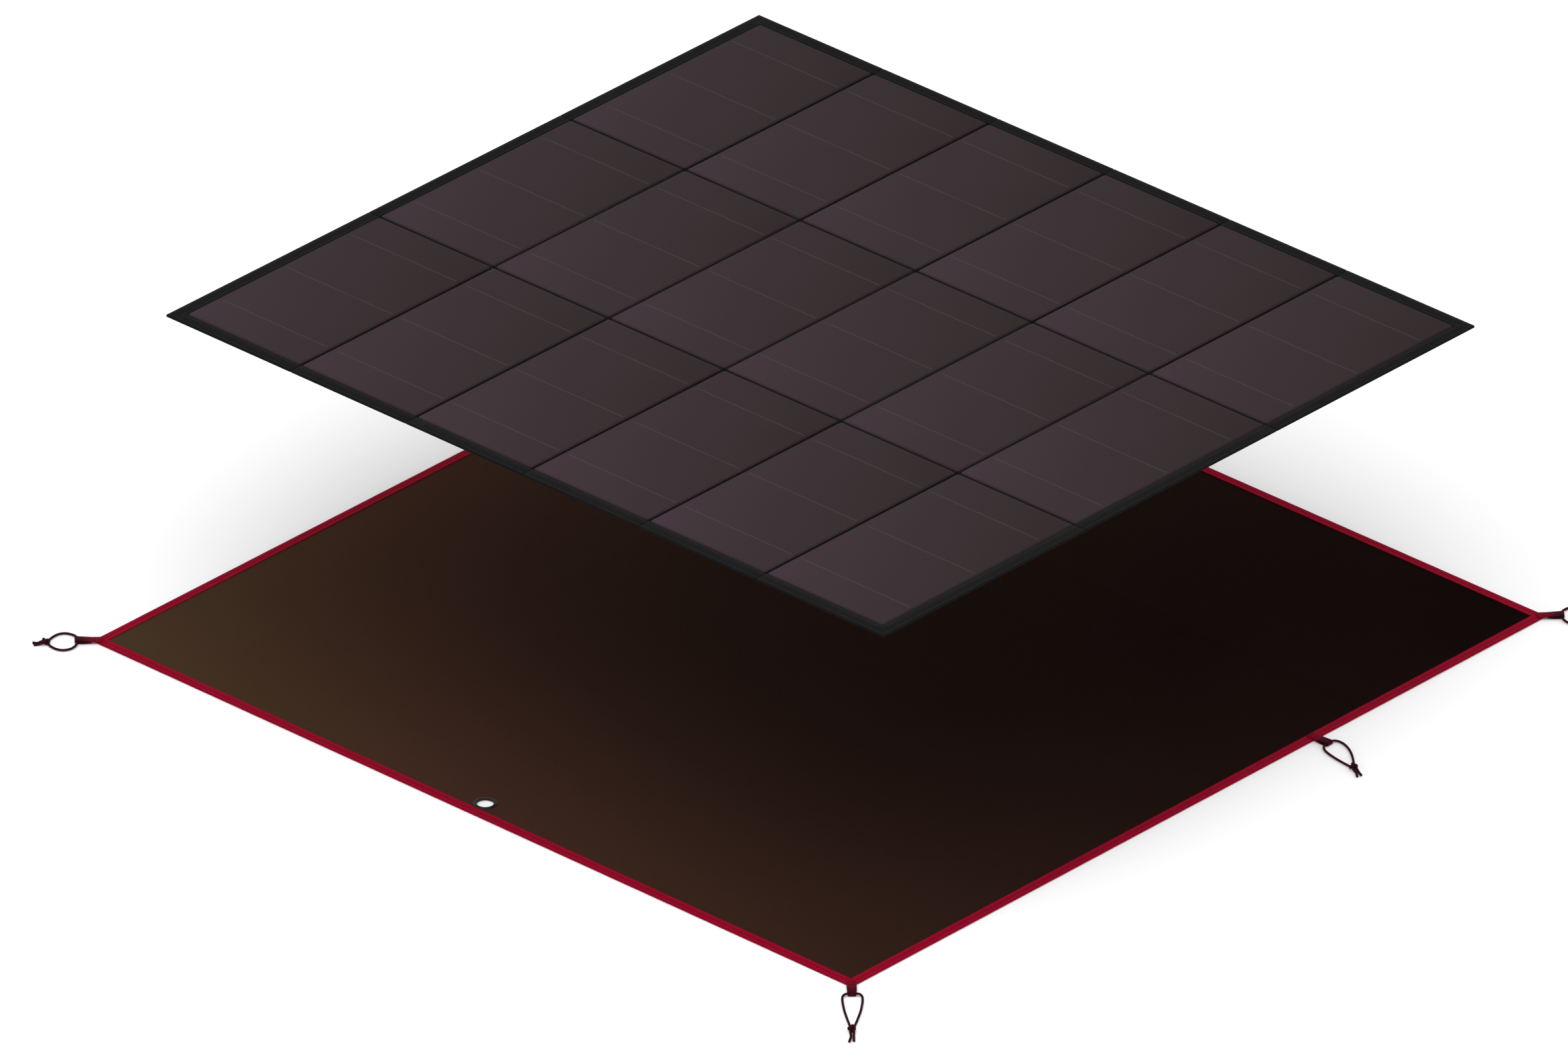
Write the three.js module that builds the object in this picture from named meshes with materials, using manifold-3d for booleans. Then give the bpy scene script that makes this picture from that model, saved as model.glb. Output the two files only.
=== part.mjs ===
// A folding solar blanket: eighteen thin-film panels, six along +X and three along +Y, each stuck
// on its own section of a fabric carrier, above a bound ground sheet with cord tie loops and an
// eyelet. Millimetres, +Z up. The origin is on the floor under the middle of the ground sheet.
import * as THREE from "three";
import { mergeVertices } from "three/addons/utils/BufferGeometryUtils.js";
import Module from "manifold-3d";

const wasm = await Module();
wasm.setup();

const GAP = 0.3; // clearance between pieces that touch
const OVERRUN = 1; // how far a cutting solid runs past what it cuts

// Ground sheet and its folded binding tape
const SHEET_X = 1534; // over the binding
const SHEET_Y = 1524;
const CLOTH = 1.0;
const TAPE = 0.8;
const TAPE_WIDTH = 16;

// Eyelet
const EYELET_BORE_R = 12.5;
const EYELET_WALL = 0.8;
const EYELET_FLANGE_R = 18;
const EYELET_FLANGE = 1.0;
const EYELET_CLEAR = 1; // between the flange and the binding
const WASHER = 0.6;
const EYELET_SIDES = 32;

// Webbing tabs and cord tie loops
const WEB = 1.2;
const TAB_WIDTH = 15;
const TAB_LAP = 14; // how far a tab lies over the binding
const TAB_CLEAR = 0.6; // from the binding's edge to the tab's underside
const EYE_REACH = 24; // from the edge to the middle of the tab's eye
const CORD_R = 1.8;
const EYE_CLEAR = 0.5; // round the cord in the tab's eye
const SIDE_TIE_Y = 252; // where the two side ties stand
const KNOT_R = 4.6;
const KNOT_HALF_HEIGHT = 3.8;
const KNOT_STRETCH = 1.3; // along the loop
const KNOT_SIDES = [12, 8]; // round and up
const FLOOR_CLEAR = 0.1; // under a cord that lies on the floor
const SWAY_POWER = 1.5;
const TAIL_RISE = 0.7; // of the knot's height, where a tail leaves it
const TAIL_SPREAD = [1, 1.2, 1.5]; // of the cord's radius, at three places along a tail
const LOOP_STEPS = 38;
const TAIL_STEPS = 6;

// Solar array
const ROWS = 6;
const COLUMNS = 3;
const PITCH_X = 234;
const PITCH_Y = 417;
const SEAM = 5; // between neighbouring laminates
const SLIT = 1; // between neighbouring carrier sections
const BORDER = 20; // hem outside the outermost laminates
const CARRIER = 2.0;
const LAMINATE = 1.5;
const LAMINATE_CORNER_R = 4;
const ARRAY_Z = 520; // carrier's underside above the floor, in the raised rest position

// Junction box under the middle panel of the first row
const BOX_X = 70;
const BOX_Y = 100;
const BOX_H = 12;
const BOX_WALL = 2;
const LID = 2.4;
const BOX_SHIFT_X = -60; // from the panel's middle
const GLAND_BORE_R = 3.6;
const GLAND_R = 5.4;
const GLAND_LENGTH = 16;
const GLAND_SIDES = 24;
const GLAND_STEP = 0.8; // how far the nose is set in from the nut
const GLAND_CHAMFER = 0.6;
const GLAND_TIP = 2; // the chamfered length
const TERMINAL = { x: 24, y: 60, z: 6, shift: 12 };

// Heights that follow from the thicknesses
const BINDING_TOP = 2 * (TAPE + GAP) + CLOTH;
const SHEET_BOTTOM = TAPE + GAP;
const SHEET_TOP = SHEET_BOTTOM + CLOTH;
const EYELET_INSET = TAPE_WIDTH + EYELET_CLEAR + EYELET_FLANGE_R; // from the -Y edge
const EYE_R = CORD_R + EYE_CLEAR;
const EYE_Z = EYE_R + WEB;
const LIE = CORD_R + FLOOR_CLEAR; // the middle of a cord that lies on the floor
const PANEL_TOP = CARRIER + GAP + LAMINATE;

const X = new THREE.Vector3(1, 0, 0);
const Y = new THREE.Vector3(0, 1, 0);
const Z = new THREE.Vector3(0, 0, 1);

const finish = (color, roughness, metalness = 0) =>
  new THREE.MeshStandardMaterial({ color, roughness, metalness });
const canvas = finish(0x2e1c15, 0.85);
const redTape = finish(0x9c0a2a, 0.7);
const redWebbing = finish(0x8e0c2b, 0.75);
const maroonCord = finish(0x3f1219, 0.8);
const blackMetal = finish(0x101010, 0.45, 0.6);
const blackCarrier = finish(0x0c0b0c, 0.85);
const solarFilm = finish(0x382a2d, 0.35);
const blackPlastic = finish(0x151515, 0.5);
const terminalPlastic = finish(0x2f3338, 0.55);

function mesh(name, geometry, material) {
  const made = new THREE.Mesh(geometry, material);
  made.name = name;
  return made;
}

// Booleans: a three.js geometry as a solid, and back.
function solid(geometry) {
  const bare = geometry.index ? geometry.toNonIndexed() : geometry.clone();
  bare.deleteAttribute("normal");
  bare.deleteAttribute("uv");
  const merged = mergeVertices(bare, 1e-4);
  return new wasm.Manifold(
    new wasm.Mesh({
      numProp: 3,
      vertProperties: new Float32Array(merged.attributes.position.array),
      triVerts: new Uint32Array(merged.index.array),
    }),
  );
}

function geometryOf(made) {
  const data = made.getMesh();
  const geometry = new THREE.BufferGeometry();
  geometry.setAttribute("position", new THREE.BufferAttribute(data.vertProperties, 3));
  geometry.setIndex(new THREE.BufferAttribute(data.triVerts, 1));
  geometry.computeVertexNormals();
  return geometry;
}

// A box between two corners.
function block(low, high) {
  const size = high.map((h, i) => h - low[i]);
  const middle = high.map((h, i) => (h + low[i]) / 2);
  return new THREE.BoxGeometry(...size).translate(...middle);
}

const extruded = (shape, depth, curveSegments = 6) =>
  new THREE.ExtrudeGeometry(shape, { depth, bevelEnabled: false, curveSegments });

const outline = (points) => new THREE.Shape(points.map(([a, b]) => new THREE.Vector2(a, b)));

// A profile of [radius, height] points that closes on itself, turned round the Z axis.
function turned(points, sides) {
  const profile = [...points, points[0]].map(([r, z]) => new THREE.Vector2(r, z));
  return new THREE.LatheGeometry(profile, sides).rotateX(Math.PI / 2);
}

// A round cord along a smooth curve through points.
function cordTube(points, steps) {
  const path = new THREE.CatmullRomCurve3(points, false, "centripetal");
  const section = new THREE.Shape().absarc(0, 0, CORD_R, 0, 2 * Math.PI);
  return new THREE.ExtrudeGeometry(section, {
    extrudePath: path,
    steps,
    curveSegments: 4, // eight sides: each half turn of the section takes four
    bevelEnabled: false,
  });
}

// Ground sheet: one unbroken cloth with a hole for the eyelet near the -Y edge.
const eyeletY = -SHEET_Y / 2 + EYELET_INSET;

function groundSheet() {
  const halfX = SHEET_X / 2 - TAPE - GAP;
  const halfY = SHEET_Y / 2 - TAPE - GAP;
  const shape = outline([
    [-halfX, -halfY],
    [halfX, -halfY],
    [halfX, halfY],
    [-halfX, halfY],
  ]);
  const hole = new THREE.Path().absarc(0, eyeletY, EYELET_BORE_R + EYELET_WALL + GAP, 0, 2 * Math.PI);
  shape.holes.push(hole);
  return extruded(shape, CLOTH, EYELET_SIDES / 2).translate(0, 0, SHEET_BOTTOM);
}

// Binding: tape folded in a U over one edge of length `length`, its outer face on y = 0, mitred
// at both ends.
function bindingStrip(length) {
  const fold = outline([
    [0, 0],
    [TAPE_WIDTH, 0],
    [TAPE_WIDTH, TAPE],
    [TAPE, TAPE],
    [TAPE, BINDING_TOP - TAPE],
    [TAPE_WIDTH, BINDING_TOP - TAPE],
    [TAPE_WIDTH, BINDING_TOP],
    [0, BINDING_TOP],
  ]);
  const strip = extruded(fold, length)
    .applyMatrix4(new THREE.Matrix4().makeBasis(Y, Z, X))
    .translate(-length / 2, 0, 0);
  const end = length / 2 - GAP * Math.SQRT1_2;
  const reach = TAPE_WIDTH + OVERRUN;
  const mitred = outline([
    [-end - OVERRUN, -OVERRUN],
    [end + OVERRUN, -OVERRUN],
    [end - reach, reach],
    [-end + reach, reach],
  ]);
  const keep = extruded(mitred, BINDING_TOP + 2 * OVERRUN).translate(0, 0, -OVERRUN);
  return geometryOf(solid(strip).intersect(solid(keep)));
}

// Eyelet: a flanged barrel from above, and a plain washer under the cloth.
function eyeletBarrel() {
  const flangeBottom = SHEET_TOP + GAP;
  const flangeTop = flangeBottom + EYELET_FLANGE;
  return turned(
    [
      [EYELET_BORE_R, TAPE / 2],
      [EYELET_BORE_R + EYELET_WALL, TAPE / 2],
      [EYELET_BORE_R + EYELET_WALL, flangeBottom],
      [EYELET_FLANGE_R, flangeBottom],
      [EYELET_FLANGE_R, flangeTop],
      [EYELET_BORE_R, flangeTop],
    ],
    EYELET_SIDES,
  ).translate(0, eyeletY, 0);
}

function eyeletWasher() {
  const top = SHEET_BOTTOM - GAP;
  const inner = EYELET_BORE_R + EYELET_WALL + GAP;
  return turned(
    [
      [inner, top - WASHER],
      [EYELET_FLANGE_R, top - WASHER],
      [EYELET_FLANGE_R, top],
      [inner, top],
    ],
    EYELET_SIDES,
  ).translate(0, eyeletY, 0);
}

// Tab: webbing folded round an eye and sewn on the binding. Its own +X points away from the
// sheet, and x = 0 is the binding's outer edge or corner.
function webbingTab() {
  const root = BINDING_TOP + GAP;
  const shape = new THREE.Shape();
  shape.moveTo(-TAB_LAP, root);
  shape.lineTo(TAB_CLEAR, root);
  shape.lineTo(TAB_CLEAR, root - WEB);
  shape.lineTo(EYE_REACH, 0);
  shape.absarc(EYE_REACH, EYE_Z, EYE_R + WEB, -Math.PI / 2, Math.PI / 2);
  shape.lineTo(TAB_CLEAR, root + WEB);
  shape.lineTo(-TAB_LAP, root + WEB);
  shape.holes.push(new THREE.Path().absarc(EYE_REACH, EYE_Z, EYE_R, 0, 2 * Math.PI));
  return extruded(shape, TAB_WIDTH)
    .applyMatrix4(new THREE.Matrix4().makeBasis(X, Z, Y.clone().negate()))
    .translate(0, TAB_WIDTH / 2, 0);
}

// One leg of each shape of loop, from the middle of the tab's eye to the knot, as [out, aside,
// up]: straight out of the eye, down to the floor and round. The other leg mirrors it.
const LOOPS = {
  wide: {
    tail: 14,
    sway: 3,
    leg: [
      [0, 8.4, EYE_Z],
      [1.3, 13, EYE_Z - 0.5],
      [4.6, 18.2, LIE + 0.4],
      [10, 22.8, LIE],
      [16.6, 25.4, LIE],
      [23.6, 25.2, LIE],
      [30, 22, LIE],
      [35.4, 16.8, LIE],
      [39.6, 11, LIE],
      [42.6, 5.2, LIE + 0.3],
    ],
  },
  medium: {
    tail: 22,
    sway: -26,
    leg: [
      [0, 8.4, EYE_Z],
      [1.4, 12.2, EYE_Z - 0.5],
      [5.6, 15.8, LIE + 0.4],
      [12, 17.8, LIE],
      [20, 18.2, LIE],
      [29, 17.4, LIE],
      [38, 15.6, LIE],
      [47, 13, LIE],
      [56, 9.8, LIE],
      [64, 6.4, LIE],
      [70.6, 3.4, LIE + 0.3],
    ],
  },
  narrow: {
    tail: 30,
    sway: -4,
    leg: [
      [0, 8.4, EYE_Z],
      [1.6, 12, EYE_Z - 0.5],
      [6, 14.4, LIE + 0.4],
      [14, 14.8, LIE],
      [24, 14.4, LIE],
      [35, 13.4, LIE],
      [47, 12, LIE],
      [59, 10, LIE],
      [71, 7.8, LIE],
      [83, 5.4, LIE],
      [92, 3.6, LIE],
      [99, 2.6, LIE + 0.3],
    ],
  },
};

// Loop: one cord through the eye, its two ends tied together in a knot with two short tails. A
// loop that lies to one side sways by that much at its knot.
function tieLoop(kind) {
  const { tail, sway, leg } = LOOPS[kind];
  const reach = leg[leg.length - 1][0];
  const aside = (u) => sway * (u / reach) ** SWAY_POWER;
  const at = (side) =>
    leg.map(([u, v, z]) => new THREE.Vector3(EYE_REACH + u, side * v + aside(u), z));
  const eye = new THREE.Vector3(EYE_REACH, 0, EYE_Z);
  const turn = Math.atan((SWAY_POWER * sway) / reach);
  const out = reach + KNOT_R;
  const knot = new THREE.Vector3(EYE_REACH + out, aside(out), KNOT_HALF_HEIGHT);
  const ring = [knot, ...at(1).reverse(), eye, ...at(-1), knot];
  const lump = new THREE.SphereGeometry(1, ...KNOT_SIDES)
    .scale(KNOT_R * KNOT_STRETCH, KNOT_R, KNOT_HALF_HEIGHT)
    .rotateZ(turn)
    .translate(knot.x, knot.y, knot.z);
  const fromKnot = (u, v, z) =>
    new THREE.Vector3(u, v, 0).applyAxisAngle(Z, turn).add(knot).setZ(z);
  const tailEnd = (side) =>
    cordTube(
      [
        knot,
        fromKnot(KNOT_R, side * TAIL_SPREAD[0] * CORD_R, KNOT_HALF_HEIGHT * TAIL_RISE),
        fromKnot(KNOT_R + tail / 2, side * TAIL_SPREAD[1] * CORD_R, LIE),
        fromKnot(KNOT_R + tail, side * TAIL_SPREAD[2] * CORD_R, LIE),
      ],
      TAIL_STEPS,
    );
  const pieces = [cordTube(ring, LOOP_STEPS), tailEnd(1), tailEnd(-1)];
  return geometryOf(pieces.reduce((sum, piece) => sum.add(solid(piece)), solid(lump)));
}

// Solar array: the carrier's sections and the laminates, in the frame of each panel's middle.
function carrierSection(row, column) {
  const sides = [
    { outer: row === 0, axis: 0, way: -1 },
    { outer: row === ROWS - 1, axis: 0, way: 1 },
    { outer: column === 0, axis: 1, way: -1 },
    { outer: column === COLUMNS - 1, axis: 1, way: 1 },
  ];
  const half = [PITCH_X / 2, PITCH_Y / 2];
  const low = [-half[0], -half[1], 0];
  const high = [half[0], half[1], CARRIER];
  for (const { outer, axis, way } of sides) {
    const edge = half[axis] + (outer ? BORDER : -SLIT / 2);
    if (way < 0) low[axis] = -edge;
    else high[axis] = edge;
  }
  let section = solid(block(low, high));
  for (const { outer, axis, way } of sides) {
    if (!outer) continue;
    const hemLow = [low[0], low[1], CARRIER / 2];
    const hemHigh = [high[0], high[1], PANEL_TOP];
    const inner = half[axis] - SEAM / 2 + GAP;
    if (way < 0) hemHigh[axis] = -inner;
    else hemLow[axis] = inner;
    section = section.add(solid(block(hemLow, hemHigh)));
  }
  return geometryOf(section);
}

function laminate() {
  const x = (PITCH_X - SEAM) / 2;
  const y = (PITCH_Y - SEAM) / 2;
  const r = LAMINATE_CORNER_R;
  const shape = new THREE.Shape();
  shape.absarc(x - r, y - r, r, 0, Math.PI / 2);
  shape.absarc(-x + r, y - r, r, Math.PI / 2, Math.PI);
  shape.absarc(-x + r, -y + r, r, Math.PI, 1.5 * Math.PI);
  shape.absarc(x - r, -y + r, r, 1.5 * Math.PI, 2 * Math.PI);
  return extruded(shape, LAMINATE, 3).translate(0, 0, CARRIER + GAP);
}

// Junction box: a tray with its mouth down, a lid, the terminal block inside it and the gland
// that the output lead leaves by, on the tray's -X wall.
const bore = (r, from, to) =>
  new THREE.CylinderGeometry(r, r, to - from, GLAND_SIDES)
    .rotateZ(Math.PI / 2)
    .translate((from + to) / 2, 0, 0);
const glandZ = -GAP - (BOX_WALL + BOX_H) / 2;

function boxTray() {
  const top = -GAP;
  const bottom = top - BOX_H;
  const body = block([-BOX_X / 2, -BOX_Y / 2, bottom], [BOX_X / 2, BOX_Y / 2, top]);
  const pocket = block(
    [-BOX_X / 2 + BOX_WALL, -BOX_Y / 2 + BOX_WALL, bottom - OVERRUN],
    [BOX_X / 2 - BOX_WALL, BOX_Y / 2 - BOX_WALL, top - BOX_WALL],
  );
  const outlet = bore(
    GLAND_BORE_R,
    -BOX_X / 2 - OVERRUN,
    -BOX_X / 2 + BOX_WALL + OVERRUN,
  ).translate(0, 0, glandZ);
  return geometryOf(solid(body).subtract(solid(pocket)).subtract(solid(outlet)));
}

function boxLid() {
  const top = -2 * GAP - BOX_H;
  return block([-BOX_X / 2, -BOX_Y / 2, top - LID], [BOX_X / 2, BOX_Y / 2, top]);
}

function terminalBlock() {
  const top = -2 * GAP - BOX_WALL;
  return block(
    [TERMINAL.shift - TERMINAL.x / 2, -TERMINAL.y / 2, top - TERMINAL.z],
    [TERMINAL.shift + TERMINAL.x / 2, TERMINAL.y / 2, top],
  );
}

function gland() {
  const wall = -BOX_X / 2 - GAP;
  const nut = GLAND_LENGTH / 2;
  const nose = GLAND_R - GLAND_STEP;
  const profile = [
    [GLAND_BORE_R, 0],
    [GLAND_R, 0],
    [GLAND_R, nut],
    [nose, nut],
    [nose, GLAND_LENGTH - GLAND_TIP],
    [nose - GLAND_CHAMFER, GLAND_LENGTH],
    [GLAND_BORE_R, GLAND_LENGTH],
  ];
  return turned(profile, GLAND_SIDES)
    .rotateY(-Math.PI / 2)
    .translate(wall, 0, glandZ);
}

const blanket = new THREE.Group();

blanket.add(mesh("ground_sheet_cloth", groundSheet(), canvas));
const edges = [
  { name: "front", length: SHEET_X, turn: 0, at: [0, -SHEET_Y / 2] },
  { name: "right", length: SHEET_Y, turn: 1, at: [SHEET_X / 2, 0] },
  { name: "back", length: SHEET_X, turn: 2, at: [0, SHEET_Y / 2] },
  { name: "left", length: SHEET_Y, turn: 3, at: [-SHEET_X / 2, 0] },
];
for (const { name, length, turn, at } of edges) {
  const strip = mesh("binding_" + name, bindingStrip(length), redTape);
  strip.rotation.z = (turn * Math.PI) / 2;
  strip.position.set(at[0], at[1], 0);
  blanket.add(strip);
}
blanket.add(mesh("eyelet_barrel", eyeletBarrel(), blackMetal));
blanket.add(mesh("eyelet_washer", eyeletWasher(), blackMetal));

// Ties: one on each corner, pointing out along the corner's diagonal, and one on each X side.
const ties = [
  { name: "front_left", kind: "wide", at: [-SHEET_X / 2, -SHEET_Y / 2], turn: -135 },
  { name: "front_right", kind: "narrow", at: [SHEET_X / 2, -SHEET_Y / 2], turn: -45 },
  { name: "back_right", kind: "wide", at: [SHEET_X / 2, SHEET_Y / 2], turn: 45 },
  { name: "back_left", kind: "narrow", at: [-SHEET_X / 2, SHEET_Y / 2], turn: 135 },
  { name: "side_right", kind: "medium", at: [SHEET_X / 2, SIDE_TIE_Y], turn: 0 },
  { name: "side_left", kind: "medium", at: [-SHEET_X / 2, SIDE_TIE_Y], turn: 180 },
];
for (const { name, kind, at, turn } of ties) {
  const tie = new THREE.Group();
  tie.position.set(at[0], at[1], 0);
  tie.rotation.z = THREE.MathUtils.degToRad(turn);
  tie.add(mesh("tab_" + name, webbingTab(), redWebbing));
  tie.add(mesh("tie_loop_" + name, tieLoop(kind), maroonCord));
  blanket.add(tie);
}

const array = new THREE.Group();
array.position.z = ARRAY_Z;
const COLUMN_NAMES = ["near", "mid", "far"];
for (let row = 0; row < ROWS; row++) {
  for (let column = 0; column < COLUMNS; column++) {
    const panel = new THREE.Group();
    panel.position.x = (row - (ROWS - 1) / 2) * PITCH_X;
    panel.position.y = (column - (COLUMNS - 1) / 2) * PITCH_Y;
    const label = COLUMN_NAMES[column] + "_" + (row + 1);
    panel.add(mesh("carrier_" + label, carrierSection(row, column), blackCarrier));
    panel.add(mesh("laminate_" + label, laminate(), solarFilm));
    if (row === 0 && COLUMN_NAMES[column] === "mid") {
      const box = new THREE.Group();
      box.position.x = BOX_SHIFT_X;
      box.add(mesh("junction_box_tray", boxTray(), blackPlastic));
      box.add(mesh("junction_box_lid", boxLid(), blackPlastic));
      box.add(mesh("terminal_block", terminalBlock(), terminalPlastic));
      box.add(mesh("output_gland", gland(), blackPlastic));
      panel.add(box);
    }
    array.add(panel);
  }
}
blanket.add(array);

export default blanket;
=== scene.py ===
import math

import bpy
from mathutils import Matrix, Vector, noise


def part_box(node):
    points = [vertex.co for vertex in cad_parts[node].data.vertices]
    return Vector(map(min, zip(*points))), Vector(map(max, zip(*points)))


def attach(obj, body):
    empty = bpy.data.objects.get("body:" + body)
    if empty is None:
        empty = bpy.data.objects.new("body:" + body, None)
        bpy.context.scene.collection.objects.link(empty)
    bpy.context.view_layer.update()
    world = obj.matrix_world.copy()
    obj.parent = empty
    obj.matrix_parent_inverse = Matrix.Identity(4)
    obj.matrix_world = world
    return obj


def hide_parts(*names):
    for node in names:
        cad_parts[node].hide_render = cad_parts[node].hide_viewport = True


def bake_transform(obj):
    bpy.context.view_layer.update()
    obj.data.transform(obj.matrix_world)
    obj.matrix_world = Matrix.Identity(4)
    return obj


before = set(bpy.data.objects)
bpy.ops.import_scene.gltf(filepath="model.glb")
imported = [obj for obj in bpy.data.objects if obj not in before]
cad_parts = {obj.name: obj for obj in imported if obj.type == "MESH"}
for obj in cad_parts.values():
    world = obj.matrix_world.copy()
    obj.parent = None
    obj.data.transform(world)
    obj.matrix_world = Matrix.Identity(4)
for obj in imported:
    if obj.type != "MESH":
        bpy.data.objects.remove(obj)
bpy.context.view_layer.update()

# ---------------------------------------------------------------------------------------------
# The studio: a pale floor, a white surround, one broad soft lamp overhead and a long lens that
# looks down on a corner, so that the layers' opposite edges stay nearly parallel.
AZIMUTH = math.radians(42.8)
ELEVATION = math.radians(28.8)
RIGHT = Vector((math.cos(AZIMUTH), math.sin(AZIMUTH), 0))
UP = Vector((
    -math.sin(AZIMUTH) * math.sin(ELEVATION),
    math.cos(AZIMUTH) * math.sin(ELEVATION),
    math.cos(ELEVATION),
))
BACK = RIGHT.cross(UP)
LENS_MM = 800
SENSOR_MM = 36
VIEW_WIDTH = 2.332
AIM = RIGHT * -0.0536 + UP * 0.1526
FAR_CLIP = 400
FLOOR_SIZE = 160
FLOOR_DROP = 0.0006
FLOOR_VALUES = {"Base Color": (0.93, 0.93, 0.93, 1), "Roughness": 0.9, "Specular IOR Level": 0.1}
SURROUND_VALUES = {"Color": (1, 1, 1, 1), "Strength": 0.98}
LAMP_SIZE = 5
LAMP_WATTS = 120
LAMP_PLACE = Vector((0.9, -1.6, 4.4))

scene = bpy.context.scene
scene.view_settings.view_transform = "Standard"

camera_data = bpy.data.cameras.new("camera")
camera_data.lens = LENS_MM
camera_data.sensor_width = SENSOR_MM
camera_data.clip_end = FAR_CLIP
camera = bpy.data.objects.new("camera", camera_data)
scene.collection.objects.link(camera)
camera.location = AIM + BACK * (VIEW_WIDTH * LENS_MM / SENSOR_MM)
camera.rotation_euler = BACK.to_track_quat("Z", "Y").to_euler()
scene.camera = camera

bpy.ops.mesh.primitive_plane_add(size=FLOOR_SIZE, location=(0, 0, -FLOOR_DROP))
floor = bpy.context.object
floor.name = "floor"
floor_paint = bpy.data.materials.new("floor_paint")
floor_paint.use_nodes = True
for socket_name, value in FLOOR_VALUES.items():
    floor_paint.node_tree.nodes["Principled BSDF"].inputs[socket_name].default_value = value
floor.data.materials.append(floor_paint)

surround = bpy.data.worlds.new("surround")
surround.use_nodes = True
for socket_name, value in SURROUND_VALUES.items():
    surround.node_tree.nodes["Background"].inputs[socket_name].default_value = value
scene.world = surround

lamp_data = bpy.data.lights.new("overhead_lamp", "AREA")
lamp_data.shape = "DISK"
lamp_data.size = LAMP_SIZE
lamp_data.energy = LAMP_WATTS
lamp = bpy.data.objects.new("overhead_lamp", lamp_data)
scene.collection.objects.link(lamp)
lamp.location = LAMP_PLACE
lamp.rotation_euler = LAMP_PLACE.to_track_quat("Z", "Y").to_euler()


# ---------------------------------------------------------------------------------------------
# Tie loops: limp braided cord, dark maroon, one through the eye of each webbing tab. Its two
# ends are tied in one overhand knot with short heat-sealed tails, and it lies on the floor.
class Signal:
    """A value that varies over a surface. Arithmetic on it adds Math nodes to its finish."""

    def __init__(self, finish, socket):
        self.finish = finish
        self.socket = socket

    def math(self, operation, *values):
        return self.finish.node("ShaderNodeMath", {"operation": operation}, *values)

    def __add__(self, other):
        return self.math("ADD", self, other)

    def __radd__(self, other):
        return self.math("ADD", other, self)

    def __sub__(self, other):
        return self.math("SUBTRACT", self, other)

    def __rsub__(self, other):
        return self.math("SUBTRACT", other, self)

    def __mul__(self, other):
        return self.math("MULTIPLY", self, other)

    def __truediv__(self, other):
        return self.math("DIVIDE", self, other)

    def __lt__(self, other):
        return self.math("LESS_THAN", self, other)

    def __gt__(self, other):
        return self.math("GREATER_THAN", self, other)

    def __abs__(self):
        return self.math("ABSOLUTE", self)

    def sin(self):
        return self.math("SINE", self)

    def fract(self):
        return self.math("FRACT", self)

    def smallest(self, other):
        return self.math("MINIMUM", self, other)

    def largest(self, other):
        return self.math("MAXIMUM", self, other)

    def held(self):
        """Kept between 0 and 1."""
        return self.math("MINIMUM", self.math("MAXIMUM", self, 0), 1)

    def rise(self, low, high):
        """0 below low, 1 above high, smooth between."""
        settings = {"interpolation_type": "SMOOTHSTEP"}
        limits = {"From Min": low, "From Max": high}
        return self.finish.node("ShaderNodeMapRange", settings, Value=self, **limits)


class Finish:
    """A material of this object: its Principled shader and the nodes that vary it."""

    def __init__(self, name, **constants):
        self.material = bpy.data.materials.new(name)
        self.material.use_nodes = True
        self.tree = self.material.node_tree
        self.shader = self.tree.nodes["Principled BSDF"]
        for socket, value in constants.items():
            self.shader.inputs[socket.replace("_", " ")].default_value = value

    def node(self, kind, settings, *values, out=0, **named):
        made = self.tree.nodes.new(kind)
        for key, value in settings.items():
            if key == "stops":
                self.set_stops(made.color_ramp, value)
            else:
                setattr(made, key, value)
        for socket, value in [*enumerate(values), *named.items()]:
            self.feed(self.find(made.inputs, socket), value)
        return Signal(self, self.find(made.outputs, out))

    @staticmethod
    def set_stops(ramp, stops):
        while len(ramp.elements) < len(stops):
            ramp.elements.new(1)
        for element, (place, color) in zip(ramp.elements, stops):
            element.position = place
            element.color = (*color, 1)

    @staticmethod
    def find(sockets, key):
        if isinstance(key, int):
            return sockets[key]
        return next((s for s in sockets if s.identifier == key), None) or sockets[key]

    def feed(self, socket, value):
        if isinstance(value, Signal):
            self.tree.links.new(value.socket, socket)
        else:
            socket.default_value = value

    def place(self):
        """The place on the piece, in metres, as a vector."""
        return self.node("ShaderNodeTexCoord", {}, out="Object")

    def axes(self, spot):
        """X, Y and Z of a place."""
        split = self.node("ShaderNodeSeparateXYZ", {}, spot)
        parts = split.socket.node.outputs
        return [Signal(self, parts[i]) for i in range(3)]

    def speckle(self, spot, scale, detail=2.0, roughness=0.5):
        """Noise from 0 to 1, with scale cycles to the metre."""
        return self.node(
            "ShaderNodeTexNoise", {}, Vector=spot, Scale=scale, Detail=detail, Roughness=roughness, out="Fac"
        )

    def blend(self, share, low, high):
        """A colour between two others."""
        low, high = (c if isinstance(c, Signal) else (*c, 1) for c in (low, high))
        return self.node(
            "ShaderNodeMix", {"data_type": "RGBA"}, Factor_Float=share,
            A_Color=low, B_Color=high, out="Result_Color",
        )

    def paint(self, color, roughness, height, relief):
        """Feeds the shader: a colour, a roughness, and a height that a bump reads as relief metres."""
        self.feed(self.shader.inputs["Base Color"], color)
        self.feed(self.shader.inputs["Roughness"], roughness)
        bump = self.node("ShaderNodeBump", {}, Strength=1.0, Distance=relief, Height=height)
        self.feed(self.shader.inputs["Normal"], bump)


def only(piece):
    """Selects one piece alone and makes it active."""
    bpy.ops.object.select_all(action="DESELECT")
    piece.select_set(True)
    bpy.context.view_layer.objects.active = piece


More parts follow.
